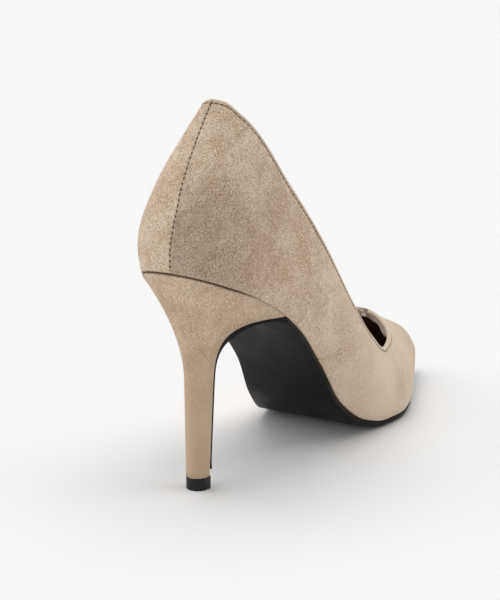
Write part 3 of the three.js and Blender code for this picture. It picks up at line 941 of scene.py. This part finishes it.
def make_strip(name, right, left, top, base, corner, material, replaced, crown=0.0,
               bevel=None):
    """A sheet between two edge lines. top and base are how far out its faces lie from the lines,
    corner is the radius of its long edges, crown how far its top rises in the middle, and bevel
    how far in and how high its lower right edge is rounded, where that is more than corner."""
    out, in_right, in_left = strip_frame(right, left)
    half_width = np.maximum((left - right)[:, 1] / 2, LEAST_HALF_WIDTH)
    widest = half_width * CORNER_OF_WIDTH
    radius = np.minimum(np.minimum(corner, (base - top) * CORNER_OF_THICKNESS), widest)
    far, high = (radius, radius) if bevel is None else bevel
    far = np.minimum(far, widest)
    high = np.minimum(high, base - top - radius)
    rows = []

    def row_at(edge, into, inset, depth):
        return edge + into * inset[:, None] + out * depth[:, None]

    def corner_rows(edge, into, depth, wide, tall, turns):
        for turn in turns:
            inset = wide * (1 - math.cos(turn))
            rows.append(row_at(edge, into, inset, depth + tall * (1 - math.sin(turn))))

    def face_rows(last, rise):
        first = rows[-1]
        for share in np.linspace(0, 1, STRIP_ACROSS + 1)[1:-1]:
            lift = rise * math.sin(math.pi * share) * smooth(half_width / CROWN_WIDTH)
            rows.append(mix(first, last, share) - out * lift[:, None])

    turns = np.linspace(0, math.pi / 2, STRIP_CORNER_STEPS + 1)
    corner_rows(right, in_right, top, radius, radius, turns)
    face_rows(row_at(left, in_left, radius, top), crown)
    corner_rows(left, in_left, top, radius, radius, turns[::-1])
    corner_rows(left, in_left, base, radius, -radius, turns)
    face_rows(row_at(right, in_right, far, base), 0)
    corner_rows(right, in_right, base, far, -high, turns[::-1])
    points, faces, _ = weld(np.stack(rows, axis=1).reshape(-1, 3), loft(len(right), len(rows)))
    return make_piece(name, points, faces, material, replaced)


def make_outsole(material):
    stations = wall_stations(SOLE_FINENESS)
    fore = stations[stations > BREAST_AT + CORNER_ROOM][::-1]
    fore = np.append(fore, BREAST_AT + CORNER_ROOM)
    span = float(feather_height(BREAST_AT)) - HEEL_FOOT
    flap_end = 1 - (FLAP_END_HEIGHT - HEEL_FOOT) / span
    down = flap_end * (np.arange(1, FLAP_STEPS + 1) / FLAP_STEPS) ** FLAP_STEP_POWER
    right = np.concatenate([feather_point(-1, fore), heel_point(-1, 0.0, down)])
    left = np.concatenate([feather_point(1, fore), heel_point(1, 0.0, down)])
    on_breast = np.arange(len(right)) >= len(fore)
    thins_from = float(feather_height(BREAST_AT * WAIST_THINNING))
    fullness = np.where(on_breast, 0, smooth(1 - right[:, 2] / thins_from))
    curved = smooth((right[:, 2] - FLAP_THIN_AT) / (FLAP_FULL_AT - FLAP_THIN_AT))
    at_corner = smooth((right[:, 2] - FLAP_FULL_AT) / (FLAP_CORNER_AT - FLAP_FULL_AT))
    thickness = np.where(on_breast, mix(STEM_FLAP, CURVE_FLAP, curved), FLAP_THICKNESS)
    thickness = mix(mix(thickness, CORNER_FLAP, at_corner), SOLE_THICKNESS, fullness)
    bevel = (mix(SOLE_CORNER, SOLE_BEVEL, fullness), mix(SOLE_CORNER, SOLE_BEVEL_DEPTH, fullness))
    near_end = clamp01(1 - (right[:, 2] - FLAP_END_HEIGHT) / FLAP_FLARE_LENGTH)
    flare = np.where(on_breast, FLAP_FLARE * near_end ** 2, 0)
    return make_strip("outsole_sheet", right, left, SOLE_GAP + flare, GAP + thickness + flare,
                      SOLE_CORNER, material, ["outsole"], bevel=bevel)


INSOLE_INSET = 2.0
INSOLE_CORNER = 0.9
INSOLE_CROWN = 0.5
INSOLE_FINENESS = 0.6


def make_insole(material):
    stations = wall_stations(INSOLE_FINENESS)[::-1]
    right, left = inset_strip(feather_point(-1, stations), feather_point(1, stations), INSOLE_INSET)
    top = np.full(len(right), -INSOLE_THICKNESS)
    return make_strip("insole_cover", right, left, top, 0 * top, INSOLE_CORNER, material,
                      ["insole"], INSOLE_CROWN)


# Top piece
TOP_PIECE_EDGE = 0.18
TOP_PIECE_CORNER = 1.2
TOP_PIECE_LOW_ROW = 0.9
TOP_PIECE_BACK_STEPS = 40
TOP_PIECE_CORNER_STEPS = 8


def make_top_piece(material):
    half = STEM_WIDTH / 2
    corner = TOP_PIECE_CORNER
    outline = [(-STEM_BACK * math.sin(t), half * math.cos(t))
               for t in np.linspace(0, math.pi, TOP_PIECE_BACK_STEPS)]
    for side, ends in ((-1, (-90, 0)), (1, (0, 90))):
        centre = (TOP_PIECE_FRONT - corner, side * (half - corner))
        outline += [(centre[0] + corner * math.cos(t), centre[1] + corner * math.sin(t))
                    for t in np.radians(np.linspace(*ends, TOP_PIECE_CORNER_STEPS))]
    outline = np.array(outline)
    along = unit(np.roll(outline, -1, axis=0) - np.roll(outline, 1, axis=0))
    inward = np.stack([-along[:, 1], along[:, 0]], -1)
    height, edge = TOP_PIECE_HEIGHT, TOP_PIECE_EDGE
    rows = [np.column_stack([outline + inward * inset, np.full(len(outline), z)])
            for inset, z in ((edge, 0), (0, edge), (0, TOP_PIECE_LOW_ROW), (0, height / 2),
                             (0, height - edge), (edge, height))]
    return make_piece("heel_top_piece", np.concatenate(rows), loft(len(rows), len(outline)),
                      material, ["top_piece"])


# Materials
def feed(tree, socket, value):
    """Links a socket to another one, or gives it a plain value."""
    if isinstance(value, bpy.types.NodeSocket):
        tree.links.new(value, socket)
    else:
        socket.default_value = value


def add_node(tree, kind, *values, **named):
    """A shader node. values go to its inputs in order. Of the named ones, those in lower case are
    its options, and the others go to the inputs of their name."""
    node = tree.nodes.new("ShaderNode" + kind)
    for name, value in named.items():
        if name[0].islower():
            setattr(node, name, value)
        else:
            feed(tree, node.inputs[name.replace("_", " ")], value)
    for socket, value in zip(node.inputs, values):
        feed(tree, socket, value)
    return node


def math_node(tree, operation, *values):
    return add_node(tree, "Math", *values, operation=operation).outputs[0]


def map_range(tree, value, low, high, to_low=0.0, to_high=1.0):
    """A value brought from one range into another, with soft ends."""
    return add_node(tree, "MapRange", Value=value, From_Min=low, From_Max=high, To_Min=to_low,
                    To_Max=to_high, interpolation_type="SMOOTHSTEP").outputs[0]


def noise(tree, vector, scale, detail=2.0, roughness=0.5, distortion=0.0):
    return add_node(tree, "TexNoise", Vector=vector, Scale=scale, Detail=detail,
                    Roughness=roughness, Distortion=distortion).outputs["Fac"]


def mix_colour(tree, share, one, other):
    node = add_node(tree, "Mix", data_type="RGBA")
    for number, value in ((0, share), (6, one), (7, other)):
        feed(tree, node.inputs[number], value)
    return node.outputs[2]


def new_group(name, outputs, **inputs):
    """A node group for one effect, with the place on the shoe in millimetres and the named inputs,
    each with its usual value."""
    group = bpy.data.node_groups.new(name, "ShaderNodeTree")
    group.interface.new_socket("Vector", in_out="INPUT", socket_type="NodeSocketVector")
    for label, value in inputs.items():
        kind = "NodeSocketVector" if isinstance(value, tuple) else "NodeSocketFloat"
        socket = group.interface.new_socket(label.replace("_", " "), in_out="INPUT",
                                            socket_type=kind)
        socket.default_value = value
    for label in outputs:
        group.interface.new_socket(label, in_out="OUTPUT", socket_type="NodeSocketFloat")
    given = group.nodes.new("NodeGroupInput").outputs
    return group, given, group.nodes.new("NodeGroupOutput").inputs


STRAND_WIDTH = 0.09
BREAK_SCALE = 1.5
BREAK_RANGE = (0.40, 0.56)
HAIR_SCALE = 1.7
HAIR_RANGE = (0.3, 0.7)
SMALL_SCALE = 4.2
SMALL_SHARE = 0.32
BLOTCH_RANGE = (0.36, 0.64)
CLOUD_SCALE = 0.09
CLOUD_RANGE = (0.35, 0.65)


def build_nap_group():
    """Short matted fibres: winding light strands that break off, with finer hairs between them."""
    group, given, result = new_group("suede_nap", ["Height"], Fibre_Size=0.9)
    place = given["Vector"]
    scale = math_node(group, "DIVIDE", 1.0, given["Fibre Size"])
    winding = noise(group, place, scale, detail=1.5, roughness=0.55, distortion=0.9)
    from_middle = math_node(group, "ABSOLUTE", math_node(group, "SUBTRACT", winding, 0.5))
    strand = map_range(group, from_middle, 0.0, STRAND_WIDTH, 1.0, 0.0)
    breaks = noise(group, place, math_node(group, "MULTIPLY", scale, BREAK_SCALE), detail=1.0)
    broken = math_node(group, "MULTIPLY", strand, map_range(group, breaks, *BREAK_RANGE))
    hairs = noise(group, place, math_node(group, "MULTIPLY", scale, HAIR_SCALE), detail=2.5,
                  roughness=0.65, distortion=0.7)
    both = math_node(group, "ADD", broken, map_range(group, hairs, *HAIR_RANGE))
    feed(group, result["Height"], math_node(group, "MULTIPLY", both, 0.5))
    return group


def build_mottle_group():
    """Broad soft blotches where the nap lies one way or the other."""
    group, given, result = new_group("nap_mottle", ["Tone"], Patch_Size=14.0)
    scale = math_node(group, "DIVIDE", 1.0, given["Patch Size"])
    broad = noise(group, given["Vector"], scale, distortion=0.7)
    small = noise(group, given["Vector"], math_node(group, "MULTIPLY", scale, SMALL_SCALE),
                  detail=3.0, roughness=0.6, distortion=0.4)
    both = math_node(group, "ADD", math_node(group, "MULTIPLY", broad, 1 - SMALL_SHARE),
                     math_node(group, "MULTIPLY", small, SMALL_SHARE))
    feed(group, result["Tone"], map_range(group, both, *BLOTCH_RANGE))
    return group


def build_patch_group():
    """A soft round area about a place on the shoe."""
    group, given, result = new_group("soft_patch", ["Mask"], Centre=(0, 0, 0), Radius=20.0)
    away = add_node(group, "VectorMath", given["Vector"], given["Centre"], operation="DISTANCE")
    share = math_node(group, "DIVIDE", away.outputs["Value"], given["Radius"])
    feed(group, result["Mask"], map_range(group, share, 0.0, 1.0, 1.0, 0.0))
    return group


def build_grain_group():
    """Fine pebbled grain of smooth leather or moulded sheet, and dusty clouds."""
    group, given, result = new_group("fine_grain", ["Height", "Mask"], Grain_Size=0.8)
    scale = math_node(group, "DIVIDE", 1.0, given["Grain Size"])
    cells = add_node(group, "TexVoronoi", feature="SMOOTH_F1", Vector=given["Vector"],
                     Scale=scale, Smoothness=0.6)
    clouds = noise(group, given["Vector"], CLOUD_SCALE, detail=4.0, roughness=0.6)
    feed(group, result["Height"], cells.outputs["Distance"])
    feed(group, result["Mask"], map_range(group, clouds, *CLOUD_RANGE))
    return group


NAP = build_nap_group()
MOTTLE = build_mottle_group()
PATCH = build_patch_group()
GRAIN = build_grain_group()


def use_group(tree, group, **inputs):
    return add_node(tree, "Group", node_tree=group, **inputs).outputs


def new_material(name, view_colour, **plain):
    """A material with a Principled shader, whose plain values sit on its own sockets, and the
    place on the shoe in millimetres."""
    material = bpy.data.materials.new(name)
    material.use_nodes = True
    material.diffuse_color = (*view_colour, 1)
    tree = material.node_tree
    shader = tree.nodes["Principled BSDF"].inputs
    for socket, value in plain.items():
        shader[socket.replace("_", " ")].default_value = value
    place = add_node(tree, "TexCoord").outputs["Object"]
    scaled = add_node(tree, "VectorMath", place, operation="SCALE", Scale=1 / MM)
    return material, tree, shader, scaled.outputs["Vector"]


def add_bump(tree, shader, height, strength, distance):
    bump = add_node(tree, "Bump", Height=height, Strength=strength, Distance=distance * MM)
    feed(tree, shader["Normal"], bump.outputs["Normal"])


MOTTLE_SHARE = 0.18
MOTTLE_MIDDLE = 0.5
NAP_SHARE = 1.05
NAP_MIDDLE = 0.34
NAP_STRONG = 2.5
NAP_CALM = 0.5
NAP_BUMP = (0.95, 0.34)
TONE_MIDDLE = 0.47
# Colours that the mesh's shade attribute mixes in: painted shade, and below nothing a painted
# highlight.
SHADE_COLOUR = (0.085, 0.042, 0.026, 1)
PAINTED_LIGHT_COLOUR = (0.88, 0.76, 0.63, 1)
GRAIN_BUMP = 0.35
DUSTY_ROUGHNESS = (-0.05, 0.06)
THREAD_SHADE = 0.55
THREAD_TWIST = 0.25
THREAD_BUMP = (0.5, 0.1)


def suede_material(name, tones, fibre, patch_size=16.0, patches=(), calm=None):
    """Suede: three tones mixed by the nap and its blotches. patches are placed areas, each with its
    middle, radius and how much lighter it is, and calm is the middle and radius of an area with a
    smoother nap."""
    dark, middle, light = ((*tone, 1) for tone in tones)
    material, tree, shader, place = new_material(
        name, tones[1], Roughness=0.95, Specular_IOR_Level=0.12, Sheen_Weight=0.22,
        Sheen_Roughness=0.45, Sheen_Tint=(1.0, 0.92, 0.82, 1))
    nap = use_group(tree, NAP, Vector=place, Fibre_Size=fibre)["Height"]
    mottle = use_group(tree, MOTTLE, Vector=place, Patch_Size=patch_size)["Tone"]
    strength = NAP_STRONG
    if calm is not None:
        smoother = use_group(tree, PATCH, Vector=place, Centre=calm[0], Radius=calm[1])["Mask"]
        strength = map_range(tree, smoother, 0.0, 1.0, NAP_STRONG, NAP_CALM)
    blotch = math_node(tree, "SUBTRACT", mottle, MOTTLE_MIDDLE)
    blotch = math_node(tree, "MULTIPLY", blotch, MOTTLE_SHARE)
    fibres = math_node(tree, "SUBTRACT", nap, NAP_MIDDLE)
    uneven = math_node(tree, "MULTIPLY_ADD", fibres, NAP_SHARE, blotch)
    tone = math_node(tree, "MULTIPLY_ADD", uneven, strength, TONE_MIDDLE)
    for centre, radius, amount in patches:
        patch = use_group(tree, PATCH, Vector=place, Centre=centre, Radius=radius)["Mask"]
        tone = math_node(tree, "ADD", tone, math_node(tree, "MULTIPLY", patch, amount))
    low = mix_colour(tree, map_range(tree, tone, 0.0, 0.5), dark, middle)
    whole = mix_colour(tree, map_range(tree, tone, 0.5, 1.0), low, light)
    # Painted shade from the mesh's shade attribute, in grooves, seams and at turned edges.
    shade = add_node(tree, "Attribute", attribute_name="shade").outputs["Fac"]
    shaded = mix_colour(tree, shade, whole, SHADE_COLOUR)
    # Below nothing, the shade attribute is a painted highlight on the topline band and its folded
    # rim.
    painted_light = math_node(tree, "MULTIPLY", shade, -1.0)
    feed(tree, shader["Base Color"], mix_colour(tree, painted_light, shaded, PAINTED_LIGHT_COLOUR))
    add_bump(tree, shader, nap, *NAP_BUMP)
    return material


def smooth_material(name, colour, dusty, grain_size, bump, roughness, gloss):
    """Smooth leather, sheet or rubber: a faint grain, with dusty clouds in colour and gloss."""
    material, tree, shader, place = new_material(name, colour, Specular_IOR_Level=gloss)
    grain = use_group(tree, GRAIN, Vector=place, Grain_Size=grain_size)
    cloud = grain["Mask"]
    feed(tree, shader["Base Color"], mix_colour(tree, cloud, (*colour, 1), (*dusty, 1)))
    ends = [roughness + change for change in DUSTY_ROUGHNESS]
    feed(tree, shader["Roughness"], map_range(tree, cloud, 0.0, 1.0, *ends))
    add_bump(tree, shader, grain["Height"], GRAIN_BUMP, bump)
    return material


def thread_material(name, colour):
    """Twisted sewing thread. In a darker brown it also gives the stitch holes, as painted shade."""
    material, tree, shader, place = new_material(name, colour, Roughness=0.8,
                                                 Specular_IOR_Level=0.2)
    twist = noise(tree, place, 1 / THREAD_TWIST, roughness=0.6)
    dark = (*[part * THREAD_SHADE for part in colour], 1)
    feed(tree, shader["Base Color"], mix_colour(tree, twist, dark, (*colour, 1)))
    add_bump(tree, shader, twist, *THREAD_BUMP)
    return material


# Dark, middle and light
SUEDE_TONES = ((0.480, 0.320, 0.205), (0.790, 0.595, 0.430), (0.975, 0.845, 0.690))
HEEL_TONES = ((0.440, 0.298, 0.198), (0.710, 0.525, 0.368), (0.950, 0.790, 0.610))
FRAY_TONES = (SUEDE_TONES[1], (0.84, 0.74, 0.63), (0.97, 0.92, 0.86))

# The placed areas are partly the suede's own uneven tone and partly painted light and shade:
# lighter over the forepart and toe, high on the outer quarter, at the top of the back and high on
# the inner panel; darker low on the outer quarter by the back seam; and a small darker spot among
# the vamp's creases, painted shade.
suede = suede_material("suede_beige", SUEDE_TONES, fibre=0.8, patches=(
    ((14, -24, 94), 34, -0.24),
    ((122, -30, 16), 9, -0.22),
    ((125, -20, 30), 100, 0.34),
    ((60, -26, 75), 40, 0.10),
    ((8, -14, 146), 26, 0.12),
    ((-4, 16, 118), 40, 0.14),
), calm=((140, -12, 22), 150))
heel_suede = suede_material("suede_heel", HEEL_TONES, fibre=0.75, patch_size=14.0,
                            calm=((4, 0, 20), 95))
fray_suede = suede_material("suede_fray", FRAY_TONES, fibre=0.5)
lining_leather = smooth_material("lining_brown", (0.240, 0.162, 0.112), (0.290, 0.205, 0.148),
                                 grain_size=0.7, bump=0.12, roughness=0.55, gloss=0.30)
sole_sheet = smooth_material("sole_black", (0.007, 0.007, 0.007), (0.010, 0.010, 0.010),
                             grain_size=0.5, bump=0.03, roughness=0.42, gloss=0.10)
rubber = smooth_material("top_piece_black", (0.010, 0.010, 0.011), (0.016, 0.015, 0.015),
                         grain_size=0.4, bump=0.04, roughness=0.42, gloss=0.25)
# The thread's dark brown is partly its own colour and partly painted shade of the holes it sinks
# into.
thread = thread_material("thread_brown", (0.115, 0.075, 0.050))
# The holes' dark brown is painted shade.
hole_brown = thread_material("stitch_hole_brown", (0.060, 0.036, 0.024))

# The shoe
upper, sheet, frames = make_upper(suede)
make_lining(lining_leather)
make_frayed_edge(frames, sheet, fray_suede)
make_topline_stitches(sheet, frames, thread)
make_seam_holes(upper, sheet, hole_brown)
make_heel(heel_suede)
make_outsole(sole_sheet)
make_insole(lining_leather)
make_top_piece(rubber)

# Camera, floor and light. Places and the floor's radius are in metres, angles in degrees.
CAMERA_PLACE = (-0.5194, -0.3538, 0.2247)
CAMERA_YAW = 32.32
CAMERA_PITCH = 13.09
CAMERA_LENS = 97.3
CAMERA_SEES = (0.01, 50)
SENSOR = 36
FLOOR_RADIUS = 12
FLOOR_SIDES = 64
FLOOR_CLOUD = 180
SKY_STRENGTH = 0.10
WHITE = (1.0, 1.0, 1.0)
WARM_WHITE = (1.0, 0.99, 0.97)


def make_camera():
    data = bpy.data.cameras.new("camera")
    data.lens = CAMERA_LENS
    data.sensor_width = SENSOR
    data.sensor_fit = "AUTO"
    data.clip_start, data.clip_end = CAMERA_SEES
    camera = add_object("camera", data)
    yaw, pitch = math.radians(CAMERA_YAW), math.radians(CAMERA_PITCH)
    ahead = Vector((math.cos(pitch) * math.cos(yaw), math.cos(pitch) * math.sin(yaw),
                    -math.sin(pitch)))
    camera.location = CAMERA_PLACE
    camera.rotation_euler = ahead.to_track_quat("-Z", "Y").to_euler()
    bpy.context.scene.camera = camera


def make_floor():
    material, tree, shader, place = new_material("floor_white", (0.9, 0.9, 0.9), Roughness=0.9,
                                                 Specular_IOR_Level=0.1)
    cloud = noise(tree, place, 1 / FLOOR_CLOUD)
    feed(tree, shader["Base Color"],
         mix_colour(tree, cloud, (0.90, 0.90, 0.905, 1), (0.92, 0.92, 0.92, 1)))
    mesh = bpy.data.meshes.new("floor")
    around = np.linspace(0, 2 * math.pi, FLOOR_SIDES, endpoint=False)
    mesh.from_pydata([(FLOOR_RADIUS * math.cos(t), FLOOR_RADIUS * math.sin(t), 0) for t in around],
                     [], [tuple(range(FLOOR_SIDES))])
    mesh.materials.append(material)
    add_object("floor", mesh)


def make_light(name, direction, softness, strength, colour):
    """A large soft light far away: it comes from a direction, with the same strength everywhere."""
    data = bpy.data.lights.new(name, "SUN")
    data.angle = math.radians(softness)
    data.energy = strength
    data.color = colour
    light = add_object(name, data)
    light.rotation_euler = Vector(direction).to_track_quat("Z", "Y").to_euler()


def make_world():
    world = bpy.data.worlds.new("studio")
    world.use_nodes = True
    sky = world.node_tree.nodes["Background"].inputs
    sky["Color"].default_value = (*WHITE, 1)
    sky["Strength"].default_value = SKY_STRENGTH
    bpy.context.scene.world = world


make_camera()
make_floor()
make_world()
make_light("overhead_softbox", (0.20, 0.09, 0.95), 75, 2.15, WHITE)
make_light("left_softbox", (-0.535, 0.845, 0.0), 110, 2.40, WARM_WHITE)
make_light("right_softbox", (0.535, -0.845, 0.0), 80, 1.50, WARM_WHITE)
make_light("front_fill", (-0.848, -0.53, 0.05), 60, 0.50, WARM_WHITE)
bpy.context.scene.view_settings.view_transform = "Standard"
